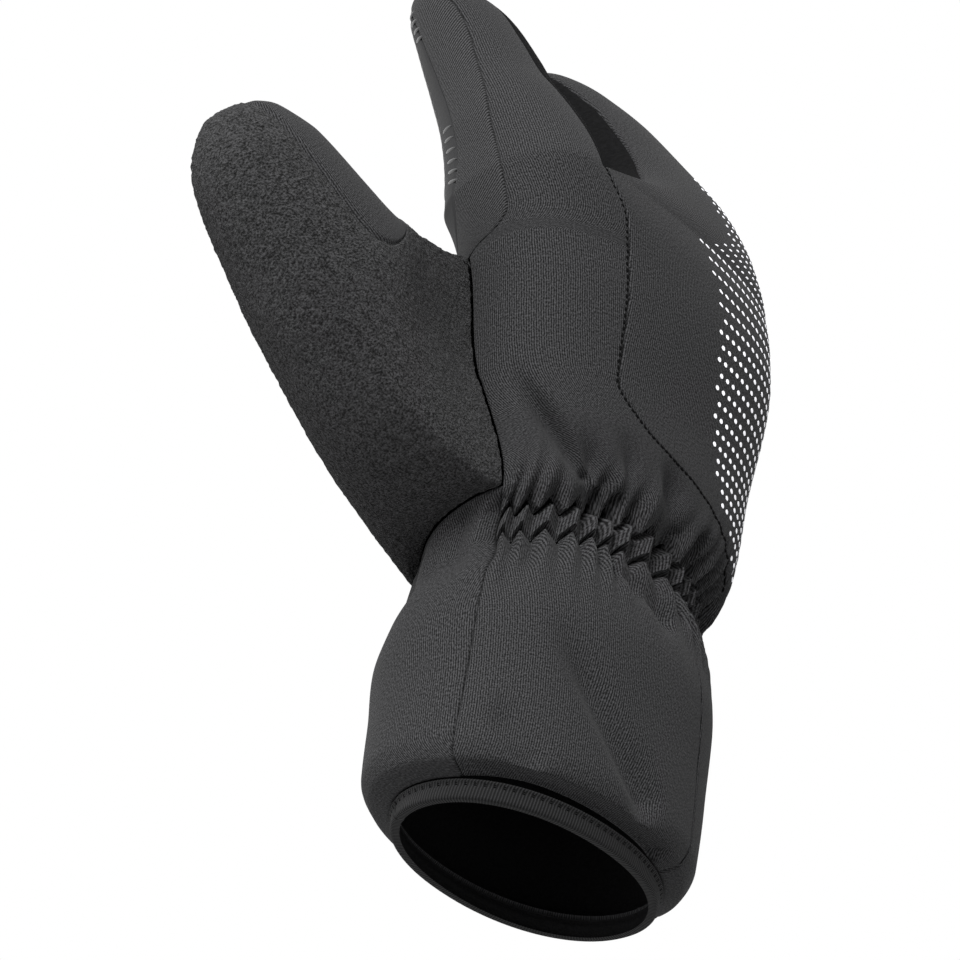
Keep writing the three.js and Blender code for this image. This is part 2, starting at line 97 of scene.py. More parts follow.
# The body and both claws leave the crotch with one slope in these
JOINED_COLUMNS = ("forward", "up", "bend", "lean", "deep", "square")
BODY_SECTIONS = [
    (0.00, 0.004, 0.00, 0.00, 0, 0, 0.430, 0.430, 0.310, 2.1),
    (0.055, 0.003, 0.00, 0.055, 0, 0, 0.435, 0.435, 0.318, 2.1),
    (0.09, -0.003, 0.00, 0.09, 0, 0, 0.505, 0.500, 0.375, 2.1),
    (0.15, -0.008, 0.00, 0.15, 2, 0, 0.525, 0.525, 0.395, 2.15),
    (0.33, -0.022, 0.00, 0.33, 6, 0, 0.520, 0.530, 0.395, 2.2),
    (0.52, -0.036, 0.00, 0.52, 12, -1, 0.525, 0.530, 0.405, 2.2),
    (0.64, -0.042, 0.00, 0.64, 17, -2, 0.515, 0.515, 0.385, 2.2),
    (0.74, -0.045, 0.00, 0.74, 21, -3, 0.480, 0.480, 0.355, 2.15),
    (0.785, -0.050, -0.01, 0.785, 22, -4, 0.470, 0.455, 0.340, 2.1),
    (0.865, -0.040, -0.01, 0.865, 22, -4, 0.470, 0.455, 0.338, 2.1),
    (0.93, 0.000, -0.01, 0.93, 21, -4, 0.495, 0.485, 0.345, 2.15),
    (1.02, 0.030, -0.01, 1.02, 19, -3, 0.500, 0.500, 0.330, 2.2),
    (1.31, 0.057, -0.04, 1.30, 15, -2, 0.520, 0.520, 0.300, 2.3),
    (1.65, 0.090, -0.10, 1.64, 12, -2, 0.530, 0.580, 0.285, 2.35),
    (1.78, 0.085, -0.25, 1.775, 12, -3, 0.415, 0.732, 0.277, 2.35),
    (1.90, 0.066, -0.48, 1.90, 12, -4, 0.217, 0.970, 0.262, 2.3),
]
FRONT_CLAW_SECTIONS = [
    (1.90, 0.066, -0.48, 1.90, 12, -4, 0.217, 0.000, 0.262, 2.3),
    (1.96, 0.045, -0.478, 1.956, 13, -4, 0.217, 0.048, 0.252, 2.25),
    (2.04, 0.012, -0.475, 2.030, 15, -5, 0.217, 0.088, 0.235, 2.2),
    (2.14, -0.037, -0.472, 2.124, 18, -5, 0.218, 0.130, 0.210, 2.2),
    (2.24, -0.095, -0.470, 2.217, 22, -4, 0.210, 0.160, 0.188, 2.2),
    (2.36, -0.168, -0.464, 2.320, 26, -4, 0.203, 0.183, 0.167, 2.2),
    (2.52, -0.252, -0.46, 2.456, 30, -3, 0.200, 0.193, 0.152, 2.2),
    (2.71, -0.355, -0.46, 2.616, 35, -3, 0.190, 0.180, 0.132, 2.15),
    (2.84, -0.438, -0.47, 2.716, 40, -3, 0.150, 0.145, 0.100, 2.1),
    (2.92, -0.484, -0.47, 2.768, 42, -3, 0.095, 0.095, 0.065, 2.05),
    (2.955, -0.500, -0.47, 2.79, 42, -3, 0.052, 0.052, 0.038, 2.0),
    (2.97, -0.508, -0.47, 2.80, 42, -3, 0.030, 0.030, 0.026, 2.0),
    (2.978, -0.513, -0.47, 2.806, 42, -3, 0.004, 0.004, 0.004, 2.0),
]
REAR_CLAW_SECTIONS = [
    (1.90, 0.066, -0.48, 1.90, 12, -4, 0.000, 0.970, 0.262, 2.3),
    (1.96, 0.045, -0.30, 1.962, 13, -4, 0.100, 0.792, 0.254, 2.25),
    (2.04, 0.010, -0.13, 2.040, 15, -4, 0.180, 0.622, 0.242, 2.2),
    (2.14, -0.042, -0.01, 2.137, 18, -5, 0.210, 0.495, 0.228, 2.2),
    (2.24, -0.095, 0.045, 2.235, 22, -5, 0.210, 0.415, 0.207, 2.2),
    (2.36, -0.160, 0.068, 2.345, 28, -4, 0.205, 0.300, 0.178, 2.2),
    (2.52, -0.248, 0.07, 2.478, 34, -4, 0.198, 0.210, 0.150, 2.2),
    (2.70, -0.375, 0.05, 2.610, 40, -5, 0.185, 0.190, 0.135, 2.15),
    (2.83, -0.465, 0.03, 2.706, 44, -5, 0.145, 0.150, 0.104, 2.1),
    (2.91, -0.520, 0.02, 2.764, 46, -5, 0.095, 0.095, 0.068, 2.05),
    (2.955, -0.552, 0.02, 2.795, 46, -5, 0.050, 0.050, 0.038, 2.0),
    (2.97, -0.562, 0.02, 2.805, 46, -5, 0.030, 0.030, 0.026, 2.0),
    (2.978, -0.567, 0.02, 2.811, 46, -5, 0.004, 0.004, 0.004, 2.0),
]
# Columns: at, forward, aside, up, inward, deep
THUMB_SECTIONS = [
    (0.00, -0.090, -0.48, 1.310, 0.330, 0.200),
    (0.12, -0.080, -0.60, 1.280, 0.350, 0.210),
    (0.25, -0.065, -0.775, 1.272, 0.342, 0.220),
    (0.45, -0.060, -1.015, 1.322, 0.302, 0.230),
    (0.65, -0.070, -1.19, 1.415, 0.258, 0.215),
    (0.85, -0.100, -1.385, 1.565, 0.208, 0.175),
    (0.95, -0.112, -1.462, 1.645, 0.138, 0.118),
    (0.985, -0.117, -1.485, 1.672, 0.085, 0.075),
    (1.00, -0.119, -1.494, 1.684, 0.006, 0.006),
]
THUMB_BLEND = 0.55
# Seams and panel edges: a station and the angle there
CUFF_THUMB_SEAM = [(0.055, 21), (0.785, 26)]
CUFF_BACK_SEAM = [(0.055, 124), (0.40, 120), (0.64, 112), (0.785, 104.75)]
CUFF_LITTLE_SEAM = [(0.055, 172), (0.785, 166)]
BACK_SEAM = [
    (0.865, 148.5), (0.95, 140), (1.02, 124), (1.10, 98), (1.18, 78), (1.30, 66), (1.65, 67),
    (1.70, 69), (1.78, 76), (1.85, 83), (1.90, 90), (2.97, 90),
]
LITTLE_SEAM = [(0.865, 166), (1.30, 172), (2.12, 176), (2.97, 180)]
PALM_SEAM = [(0.865, 239.3), (1.30, 242), (1.70, 258), (1.90, 270), (2.97, 270)]
THUMB_BACK_EDGE = [(0.865, 26), (0.93, 22), (1.10, 12), (1.30, 0), (1.50, -10), (1.70, -16)]
THUMB_PALM_EDGE = [(0.93, -65.7), (1.15, -80), (1.40, -78), (1.60, -62), (1.70, -44)]
REAR_CLAW_SEAM = [(1.90, 90), (2.02, 64), (2.20, 46), (2.97, 40)]
STRIP_BACK_EDGE = [
    (1.70, -16), (1.73, 2), (1.78, 10), (1.90, 10), (2.05, 11), (2.20, 17), (2.38, 26), (2.60, 33),
    (2.97, 18),
]
STRIP_PALM_EDGE = [(1.70, -44), (1.85, -30), (2.12, -20), (2.34, -20), (2.60, -24), (2.97, -34)]
THUMB_INNER_SEAM = [(0.00, 45), (0.30, 25), (0.50, 2), (0.65, -10), (1.00, -16)]
THUMB_PALM_SEAM = [(0.00, 135), (0.50, 115), (1.00, 98)]
THUMB_STRIP_SEAM = [(0.00, 60), (0.40, 20), (0.45, -45), (0.52, -80), (0.60, -90), (1.00, -94)]

# Share of a fold over which it deepens from its start
FOLD_TAPER = 0.5
# Columns: from station, from angle, to station, to angle, depth and width in millimetres
FOLDS = [
    (1.32, 12, 0.885, 66, 6.0, 3.6),
    (1.12, 46, 0.885, 72, 5.0, 4.2),
    (1.16, 67, 0.90, 80, 3.0, 3.6),
    (1.14, 86, 0.89, 98, 4.2, 3.6),
    (1.00, 108, 0.89, 114, 3.0, 3.4),
    (0.77, 68, 0.66, 98, 3.6, 3.8),
    (0.75, 44, 0.62, 36, 1.4, 5),
    (0.54, 50, 0.15, 94, 4.6, 4.6),
    (0.26, 32, 0.12, 50, 2.4, 5),
    (0.10, -38, 0.18, -14, 1.5, 5),
    (0.06, 8, 0.06, 112, 3.2, 2.6),
    (1.86, 18, 1.74, 56, 0.6, 8),
]
# Where the dot print starts on the back panel: a station and an angle. It ends at one angle.
DOT_PRINT_EDGE = [
    (1.03, 134), (1.12, 114), (1.30, 105), (1.60, 101), (1.80, 109), (2.00, 118), (2.15, 108), (2.30, 98),
]
DOT_PRINT_END = 160
# Columns of grip bars: panel, from station, to station, angle, slant in degrees
GRIP_COLUMNS = [
    ("palm_panel", 1.96, 2.22, 331, 62),
    ("palm_panel", 2.66, 2.80, 331, 50),
    ("palm_panel", 2.00, 2.82, 310, -35),
    ("palm_panel", 1.80, 2.80, 286, 35),
    ("palm_panel", 1.15, 1.75, 266, -35),
    ("palm_panel", 1.20, 1.62, 252, 35),
    ("heel_panel", 1.20, 1.80, 236, 35),
    ("heel_panel", 1.10, 2.75, 222, -35),
    ("heel_panel", 1.15, 2.75, 206, 35),
]
# Shares of the seam roll at which the mesh has an extra line beside each edge
EDGE_LINES = np.array([0, 0.1, 0.3, 0.6, 1.0])
# The most of a panel's width that one rolled edge, and its wall, may take
ROLL_ROOM = 0.25
WALL_ROOM = 0.125
# How far a rolled edge drops, as a share of its radius
ROLL_DROP = 0.9
# Faces that meet at less than this are shaded as one surface
SMOOTH_ANGLE = math.radians(55)

# Material places of a panel
LINING = 1
STRIP = 2
# Blue of the dark cloths, as a share of their red and green
BLUENESS = 1.04

# Studio, in metres
CAMERA_TARGET = (0.01664, -0.05828, 0.08993)
FOCAL_LENGTH = 272.7
FARTHEST = 100
FLOOR_SIZE = 12
LIGHT_DISTANCE = 1.2
# Name, direction from the mitt as shares of image right, image up and towards the camera, power, size
LIGHTS = [
    ("key", (-0.2, 1.0, 0.75), 1.0, 0.6),
    ("fill", (-1.0, 0.0, 0.6), 0.16, 1.0),
]


def mix(a, b, share):
    return a + (b - a) * share


def smooth(share):
    share = np.clip(share, 0, 1)
    return share * share * (3 - 2 * share)


class Table:
    """Rows of a station and its values, read as curves that never overshoot."""

    def __init__(self, rows):
        self.rows = np.array(rows, float)
        slope = np.diff(self.rows, axis=0) / np.diff(self.rows[:, :1], axis=0)
        product = slope[:-1] * slope[1:]
        total = slope[:-1] + slope[1:]
        soft = np.where(product > 0, 2 * product / np.where(product > 0, total, 1), 0)
        self.slopes = np.vstack([slope[:1], soft, slope[-1:]])

    def at(self, station):
        """Every column but the first, at each station."""
        stations = self.rows[:, 0]
        place = np.clip(station, stations[0], stations[-1])
        low = np.clip(np.searchsorted(stations, place) - 1, 0, len(stations) - 2)
        span = (stations[low + 1] - stations[low])[..., None]
        t = (place[..., None] - stations[low][..., None]) / span
        start, end = self.rows[low], self.rows[low + 1]
        result = (
            (2 * t**3 - 3 * t**2 + 1) * start
            + (t**3 - 2 * t**2 + t) * span * self.slopes[low]
            + (3 * t**2 - 2 * t**3) * end
            + (t**3 - t**2) * span * self.slopes[low + 1]
        )
        return result[..., 1:]


def line(rows, turn=0.0):
    """A seam: its angle at each station, plus a turn."""
    table = Table(rows)
    return lambda at: table.at(np.asarray(at, float))[..., 0] + turn


def level(angle):
    return lambda at: np.full(np.shape(at), float(angle))


BODY = Table(BODY_SECTIONS)
CLAWS = {"front": Table(FRONT_CLAW_SECTIONS), "rear": Table(REAR_CLAW_SECTIONS)}
THUMB = Table(THUMB_SECTIONS)


def join_slopes():
    """Let the body run into both claws without a crease."""
    for name in JOINED_COLUMNS:
        column = SECTION_COLUMNS.index(name)
        claw_slope = sum(claw.slopes[0, column] for claw in CLAWS.values()) / len(CLAWS)
        slope = (BODY.slopes[-1, column] + claw_slope) / 2
        for table, row in ((BODY, -1), (CLAWS["front"], 0), (CLAWS["rear"], 0)):
            table.slopes[row, column] = slope


join_slopes()
thumb_back_edge = line(THUMB_BACK_EDGE)
thumb_palm_edge = line(THUMB_PALM_EDGE)
strip_back_edge = line(STRIP_BACK_EDGE)
strip_palm_edge = line(STRIP_PALM_EDGE)
back_seam = line(BACK_SEAM)
little_seam = line(LITTLE_SEAM)
palm_seam = line(PALM_SEAM)
rear_claw_seam = line(REAR_CLAW_SEAM)
cuff_thumb_seam = line(CUFF_THUMB_SEAM)
cuff_back_seam = line(CUFF_BACK_SEAM)
cuff_little_seam = line(CUFF_LITTLE_SEAM)
thumb_inner_seam = line(THUMB_INNER_SEAM)
thumb_palm_seam = line(THUMB_PALM_SEAM)


def index_edge(at):
    return np.where(at <= THUMB_CROTCH, thumb_back_edge(at), strip_back_edge(at))


def palm_edge(at):
    return 360 + np.where(at <= THUMB_CROTCH, thumb_palm_edge(at), strip_palm_edge(at))


def rear_seam(at):
    return np.where(at <= CLAW_CROTCH, back_seam(at), rear_claw_seam(at))


def signed_power(value, power):
    return np.sign(value) * np.abs(value) ** power


def ring_point(section, angle):
    """Point of an oval ring that is tipped by bend, towards the palm, and by lean."""
    forward, aside, up, bend, lean, thumbward, littleward, deep, square = np.moveaxis(section, -1, 0)
    c = signed_power(np.cos(np.radians(angle)), 2 / square)
    s = signed_power(np.sin(np.radians(angle)), 2 / square)
    across = -c * np.where(c > 0, thumbward, littleward)
    out = s * deep
    bend, lean = np.radians(bend), np.radians(lean)
    x = forward + out * np.cos(bend) + across * np.sin(bend) * np.sin(lean)
    y = aside + across * np.cos(lean)
    z = up + out * np.sin(bend) - across * np.cos(bend) * np.sin(lean)
    return np.stack([x, y, z], axis=-1) * HAND_WIDTH


def hand_skin(claw):
    """Skin of the gauntlet, the hand and one claw."""

    def point(at, angle):
        at, angle = np.broadcast_arrays(np.asarray(at, float), np.asarray(angle, float))
        body, tip = BODY.at(at), CLAWS[claw].at(at)
        return ring_point(np.where((at <= CLAW_CROTCH)[..., None], body, tip), angle)

    return point


front_skin = hand_skin("front")
rear_skin = hand_skin("rear")


def thumb_hole(turn):
    """Outline of the thumb's hole: 0 at its top, 90 palm edge, 180 bottom, 270 back edge."""
    sector = (turn + QUARTER / 2) % 360
    part = (sector % QUARTER) / QUARTER
    side = np.floor(sector / QUARTER).astype(int)
    low, high = PALM_BAND_HIGH, THUMB_CROTCH
    top, bottom = np.full_like(part, high), np.full_like(part, low)
    at = np.choose(side, [top, mix(high, low, part), bottom, mix(low, high, part)])
    back, palm = thumb_back_edge(at), thumb_palm_edge(at)
    angle = np.choose(side, [mix(back, palm, part), palm, mix(palm, back, part), back])
    return front_skin(at, angle)


def thumb_skin(at, angle):
    """Skin of the thumb: the hole's outline carried along it while it turns into an oval."""
    at, angle = np.broadcast_arrays(np.asarray(at, float), np.asarray(angle, float))
    section = THUMB.at(at)
    centre = section[..., :3] * HAND_WIDTH
    along = (THUMB.at(np.minimum(at + THUMB_STEP, 1)) - THUMB.at(np.maximum(at - THUMB_STEP, 0)))[..., :3]
    along /= np.linalg.norm(along, axis=-1, keepdims=True)
    backward = np.array([1.0, 0, 0]) - along * along[..., :1]
    backward /= np.linalg.norm(backward, axis=-1, keepdims=True)
    inward = np.cross(along, backward)
    cos, sin = np.cos(np.radians(angle))[..., None], np.sin(np.radians(angle))[..., None]
    oval = (inward * cos * section[..., 3:4] - backward * sin * section[..., 4:5]) * HAND_WIDTH
    blend = smooth(at / THUMB_BLEND)[..., None]
    base = thumb_hole(angle) - np.array(THUMB_SECTIONS[0][1:4]) * HAND_WIDTH
    return centre + mix(base, oval, blend)


def outward(skin, at, angle, low, high):
    """Unit normal of a skin, pointing out of the mitt."""
    at = np.clip(at, low + STEP, high - STEP)
    across = skin(at, angle + STEP * QUARTER) - skin(at, angle - STEP * QUARTER)
    along = skin(at + STEP, angle) - skin(at - STEP, angle)
    normal = np.cross(across, along)
    return normal / np.maximum(np.linalg.norm(normal, axis=-1, keepdims=True), TINY)


def pleat_wave(angle):
    """1 on the ridge of each pleat of the wrist gather, and -1 in the valleys."""
    turned = np.mod(angle, 360)
    on_back = (turned >= THUMB_SIDE_SEAM) & (turned <= LITTLE_SIDE_SEAM)
    back_span = LITTLE_SIDE_SEAM - THUMB_SIDE_SEAM
    share = np.where(
        on_back,
        (turned - THUMB_SIDE_SEAM) / back_span,
        np.mod(turned - LITTLE_SIDE_SEAM, 360) / (360 - back_span),
    )
    turns = share * np.where(on_back, BACK_PLEATS, PALM_PLEATS)
    turns = turns + CROWDING * np.sin(2 * math.pi * CROWDINGS * share)
    return 1 - 4 * np.abs(turns % 1 - 0.5), on_back


def off_band(at):
    """Distance in metres from the gathered band, below it and above it."""
    return np.maximum(BAND_LOW - at, 0) * HAND_WIDTH, np.maximum(at - BAND_HIGH, 0) * HAND_WIDTH


def zigzag(at, angle, sizes):
    """Station of a grid line near the band, moved up and down with the zigzag seams on the back."""
    wave, on_back = pleat_wave(angle)
    below, above = off_band(at)
    fade = np.exp(-(((below + above) / sizes.zigzag_fade) ** 2))
    rise = sizes.zigzag_rise / 2 / HAND_WIDTH
    return at + np.where(on_back, wave * rise * fade, 0)


def thumb_seam_calm(at, angle):
    """0 along the seam round the thumb, where the cloth lies flat, and 1 away from it."""
    signed = np.where(angle > 180, angle - 360, angle)
    past = np.maximum(signed - thumb_back_edge(at), thumb_palm_edge(at) - signed) / CALM_ANGLE
    below = (PALM_BAND_HIGH - at) / CALM_LENGTH
    return np.where(at > THUMB_CROTCH, 1, smooth(np.maximum(past, below)))


def pleat_height(at, angle, sizes):
    """Puckers of the gather: ridges in the band, the opposite way above it, and a groove at each seam."""
    wave, on_back = pleat_wave(angle)
    below, above = off_band(at)
    height = np.where(on_back, sizes.pleat_height, sizes.palm_pleat_height)
    fade = np.exp(-((below / sizes.pleat_fade) ** 2)) * np.exp(-((above / sizes.pleat_fade) ** 2))
    side = np.where(on_back & (above > 0), -1, 1)
    to_seam = np.minimum(np.abs(at - BAND_LOW), np.abs(at - BAND_HIGH)) * HAND_WIDTH
    groove = 1 - smooth(to_seam / sizes.groove_width)
    puckers = height * wave * side * fade
    return np.where(on_back, mix(puckers, -sizes.groove_depth, groove), puckers)


def fold_depth(at, angle):
    """Depth of the deepest soft valley of the fold table."""
    around = HAND_WIDTH * math.pi / 4 / QUARTER
    depth = np.zeros(np.shape(at))
    for from_at, from_angle, to_at, to_angle, deep, wide in FOLDS:
        run = np.array([(to_at - from_at) * HAND_WIDTH, (to_angle - from_angle) * around])
        x, y = (at - from_at) * HAND_WIDTH, (angle - from_angle) * around
        part = np.clip((x * run[0] + y * run[1]) / (run @ run), 0, 1)
        off = np.hypot(x - part * run[0], y - part * run[1])
        valley = deep * MM * smooth(part / FOLD_TAPER) * np.exp(-((off / (wide * MM)) ** 2))
        depth = np.maximum(depth, valley)
    return depth


def hand_relief(at, angle, sizes):
    return (pleat_height(at, angle, sizes) - fold_depth(at, angle)) * thumb_seam_calm(at, angle)


def binding_relief(at, angle, sizes):
    """A lip along the bound hem's top edge, with a stitched groove under it."""
    above = (at - HEM_STITCHES) * HAND_WIDTH
    lip = sizes.hem_lip * smooth(above / sizes.hem_groove)
    return lip - sizes.hem_groove * np.exp(-((above / sizes.hem_groove) ** 2))


def no_relief(at, angle, sizes):
    return np.zeros(np.shape(at))


class Panel(NamedTuple):
    """A piece of cloth: where it starts and ends, its two side edges, and the skin it lies on."""

    start: float
    end: float
    side_from: Callable
    side_to: Callable
    skin: Callable = front_skin
    cloth: str = "shell"
    wall: str = "shell_wall"
    held: str = "stretched"
    relief: Callable = hand_relief
    roll_ends: tuple = (1, 0)
    pile: float = 0.0
    ease: float = 1.0
    coarseness: float = 1.2
    strip: Callable = None


PANELS = {
    "hem_binding": Panel(0, BINDING_TOP, level(-24), level(336), cloth="binding", wall="binding_wall",
                         held="folded", relief=binding_relief, roll_ends=(1, 1)),
    "cuff_back": Panel(SHELL_START, BAND_LOW, cuff_thumb_seam, cuff_back_seam),
    "cuff_side": Panel(SHELL_START, BAND_LOW, cuff_back_seam, cuff_little_seam),
    "cuff_palm": Panel(SHELL_START, BAND_LOW, cuff_little_seam, line(CUFF_THUMB_SEAM, 360)),
    "wrist_gather_back": Panel(BAND_LOW, BAND_HIGH, thumb_back_edge, little_seam, held="gathered",
                               roll_ends=(0, 0), ease=1.6, coarseness=0.8),
    "wrist_gather_palm": Panel(BAND_LOW, PALM_BAND_HIGH, little_seam, line(THUMB_BACK_EDGE, 360),
                               held="gathered", roll_ends=(0, 1), ease=1.1, coarseness=0.8),
    "index_side_panel": Panel(BAND_HIGH, CLAW_TIP, index_edge, back_seam, roll_ends=(0, 0)),
    "back_panel": Panel(BAND_HIGH, CLAW_TIP, rear_seam, little_seam, rear_skin, roll_ends=(0, 0)),
    "heel_panel": Panel(PALM_BAND_HIGH, CLAW_TIP, little_seam, palm_seam, rear_skin, "palm"),
    "palm_panel": Panel(PALM_BAND_HIGH, CLAW_TIP, palm_seam, palm_edge, cloth="palm"),
    "forefinger_strip": Panel(THUMB_CROTCH, CLAW_TIP, strip_palm_edge, strip_back_edge, cloth="twill"),
    "front_claw_gusset": Panel(GUSSET_START, CLAW_TIP, level(90), level(270), cloth="fleece",
                               wall="gusset_wall", relief=no_relief, roll_ends=(0, 0), coarseness=1.6),
    "rear_claw_gusset": Panel(GUSSET_START, CLAW_TIP, level(-90), rear_claw_seam, rear_skin, "fleece",
                              "gusset_wall", relief=no_relief, roll_ends=(0, 0), coarseness=1.6),
    "thumb_outer": Panel(0, THUMB_END, thumb_palm_seam, line(THUMB_INNER_SEAM, 360), thumb_skin, "terry",
                         "terry_wall", relief=no_relief, pile=1.0, coarseness=1.0,
                         strip=line(THUMB_STRIP_SEAM, 360)),
    "thumb_inner": Panel(0, THUMB_END, thumb_inner_seam, thumb_palm_seam, thumb_skin,
                         wall="terry_wall", relief=no_relief, coarseness=1.5),
}


def travelled(points, axis):
    """Distance run along one axis of a grid of points, from its start."""
    steps = np.linalg.norm(np.diff(points, axis=axis), axis=-1)
    start = np.zeros_like(np.take(steps, [0], axis=axis))
    return np.concatenate([start, np.cumsum(steps, axis=axis)], axis=axis)


def spaced(total, count, roll):
    """Distances across a run: close together over its two rolled edges and even between them."""
    total = np.asarray(total, float)[..., None]
    edge = EDGE_LINES * np.minimum(roll, total * ROLL_ROOM)
    even = np.linspace(0, 1, count)
    middle = mix(edge[..., -1:], total - edge[..., -1:], even)
    return np.concatenate([edge[..., :-1], middle, (total - edge[..., :-1])[..., ::-1]], axis=-1)


def roll_depth(distance, room, roll):
    """How far a rounded edge drops, at a distance from a seam."""
    radius = np.minimum(roll, room * ROLL_ROOM)
    share = np.clip(1 - distance / np.maximum(radius, TINY), 0, 1)
    return radius * (1 - np.sqrt(1 - share**2)) * ROLL_DROP


class PanelGrid(NamedTuple):
    """Points of a panel's outer and inner faces, and its cloth coordinates, by row and column."""

    outer: np.ndarray
    inner: np.ndarray
    cloth: np.ndarray
    strip: np.ndarray
    width: float
    length: float
    area: float


def cloth_surface(panel, stations, angle, sizes):
    """Points of a panel's skin, the normals there, and how far the cloth stands off the skin."""
    at = zigzag(stations, angle, sizes) if panel.relief is hand_relief else stations
    normal = outward(panel.skin, at, angle, panel.start, panel.end)
    return panel.skin(at, angle), normal, panel.relief(stations, angle, sizes)


def lay_panel(panel, sizes):
    """Lay a panel's grid on its skin."""
    trial = np.linspace(panel.start, panel.end, PANEL_SAMPLES)
    middle = mix(panel.side_from(trial), panel.side_to(trial), 0.5)
    run = travelled(panel.skin(trial, middle), 0)
    length = run[-1]
    cell, roll = sizes.cell * panel.coarseness, sizes.seam_roll
    rows = int(length / cell)
    row_distance = spaced(length, rows, roll)
    stations = np.interp(row_distance, run, trial)[:, None]
    share = np.linspace(0, 1, WIDTH_SAMPLES)
    trial_angle = mix(panel.side_from(stations), panel.side_to(stations), share)
    across = travelled(panel.skin(stations, trial_angle), 1)
    width = across[:, -1]
    columns = int(width.max() / cell)
    column_distance = spaced(width, columns, roll)
    angle = np.array([np.interp(d, a, t) for d, a, t in zip(column_distance, across, trial_angle)])
    plain, normal, height = cloth_surface(panel, stations + 0 * angle, angle, sizes)
    from_side = np.minimum(column_distance, width[:, None] - column_distance)
    drop = roll_depth(from_side, width[:, None], roll)
    for distance, wanted in zip((row_distance, length - row_distance), panel.roll_ends):
        drop += wanted * roll_depth(distance, length, roll)[:, None]
    drop = np.minimum(drop, roll)
    height = height - drop
    in_strip = np.zeros(angle.shape, bool)
    if panel.strip:
        seam_at = [np.interp(a, t, d) for a, t, d in zip(panel.strip(stations[:, 0]), trial_angle, across)]
        past_seam = column_distance - np.array(seam_at)[:, None]
        in_strip = past_seam > 0
        height -= sizes.strip_groove * np.exp(-((past_seam / roll) ** 2))
    if panel.pile:
        curls = pile_height(plain, sizes) * smooth(from_side / sizes.curl_size)
        height += np.where(in_strip, 0, panel.pile * curls)
    outer = plain + normal * height[..., None]
    wall = np.minimum(getattr(sizes, panel.wall), width[:, None] * WALL_ROOM)[..., None]
    inner = plain + normal * np.minimum(height, 0)[..., None] - normal * wall
    centre = width[:, None] / 2
    along = np.broadcast_to(row_distance[:, None], angle.shape)
    cloth = np.stack([column_distance - centre, along], axis=-1)
    area = float(np.sum((width[1:] + width[:-1]) / 2 * np.diff(row_distance)))
    return PanelGrid(outer, inner, cloth, in_strip, float(width.max()), float(length), area)


def pile_height(points, sizes):
    """Small curls of the fleece, the same on every run."""
    flat = points.reshape(-1, 3) / sizes.curl_size
    values = np.array([noise.noise(Vector(p)) for p in flat])
    return values.reshape(points.shape[:-1]) * sizes.curl_height


def slab_from_grid(name, grid):
    """A grid primitive, extruded into a thin slab and laid on the panel's two faces."""
    rows, columns = grid.outer.shape[:2]
    bpy.ops.mesh.primitive_grid_add(x_subdivisions=columns - 1, y_subdivisions=rows - 1, size=1)
    slab = bpy.context.object
    slab.name = slab.data.name = name
    bpy.ops.object.mode_set(mode="EDIT")
    bpy.ops.mesh.select_all(action="SELECT")
    bpy.ops.mesh.extrude_region_move(TRANSFORM_OT_translate={"value": (0, 0, 1)})
    bpy.ops.object.mode_set(mode="OBJECT")
    mesh = slab.data
    flat = np.empty(len(mesh.vertices) * 3)
    mesh.vertices.foreach_get("co", flat)
    flat = flat.reshape(-1, 3)
    column = np.rint((flat[:, 0] + 0.5) * (columns - 1)).astype(int)
    row = np.rint((flat[:, 1] + 0.5) * (rows - 1)).astype(int)
    outside = flat[:, 2:] > 0.5
    placed = np.where(outside, grid.outer[row, column], grid.inner[row, column])
    mesh.vertices.foreach_set("co", placed.ravel())
    corners = np.empty(len(mesh.loops), dtype=np.int32)
    mesh.loops.foreach_get("vertex_index", corners)
    mesh.uv_layers[0].name = "cloth"
    mesh.uv_layers[0].uv.foreach_set("vector", grid.cloth[row[corners], column[corners]].ravel())
    in_faces = ~outside[:, 0]
    strip = grid.strip[row, column]
    face_material = [
        LINING if all(in_faces[v] for v in face.vertices) else STRIP * int(strip[face.vertices[0]])
        for face in mesh.polygons
    ]
    mesh.polygons.foreach_set("material_index", face_material)
    mesh.update()
    bpy.ops.object.shade_smooth_by_angle(angle=SMOOTH_ANGLE)
    return slab


def make_panel(context, node):
    """Make one panel of cloth in place of its CAD node."""
    sizes = context.scene.mitt_cloth
    panel = PANELS[node]
    grid = lay_panel(panel, sizes)
    piece = slab_from_grid(f"{node}_cloth", grid)
    piece.data.materials.append(finish(context, panel.cloth))
    piece.data.materials.append(finish(context, "lining"))
    if panel.strip:
        piece.data.materials.append(finish(context, "shell"))
    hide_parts(node)
    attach(piece, "root")
    return piece


class Shape(NamedTuple):
    """Vertices and faces of a small shape that is copied many times."""

    vertices: np.ndarray
    faces: list


def take_shape():
    """Read the active object as a shape, and remove it."""
    model = bpy.context.object
    bpy.ops.object.transform_apply()
    shape = Shape(
        np.array([vertex.co[:] for vertex in model.data.vertices]),
        [tuple(face.vertices) for face in model.data.polygons],
    )
    bpy.data.objects.remove(model)
    return shape


def rounded_bar(width, length, thickness):
    """A bar with rounded ends, along Y."""
    bpy.ops.mesh.primitive_uv_sphere_add(segments=8, ring_count=6, radius=0.5, rotation=(math.pi / 2, 0, 0))
    bpy.context.object.scale = (width, thickness, length)
    return take_shape()


def disc(radius, thickness):
    bpy.ops.mesh.primitive_cylinder_add(vertices=12, radius=radius, depth=2 * thickness)
    return take_shape()


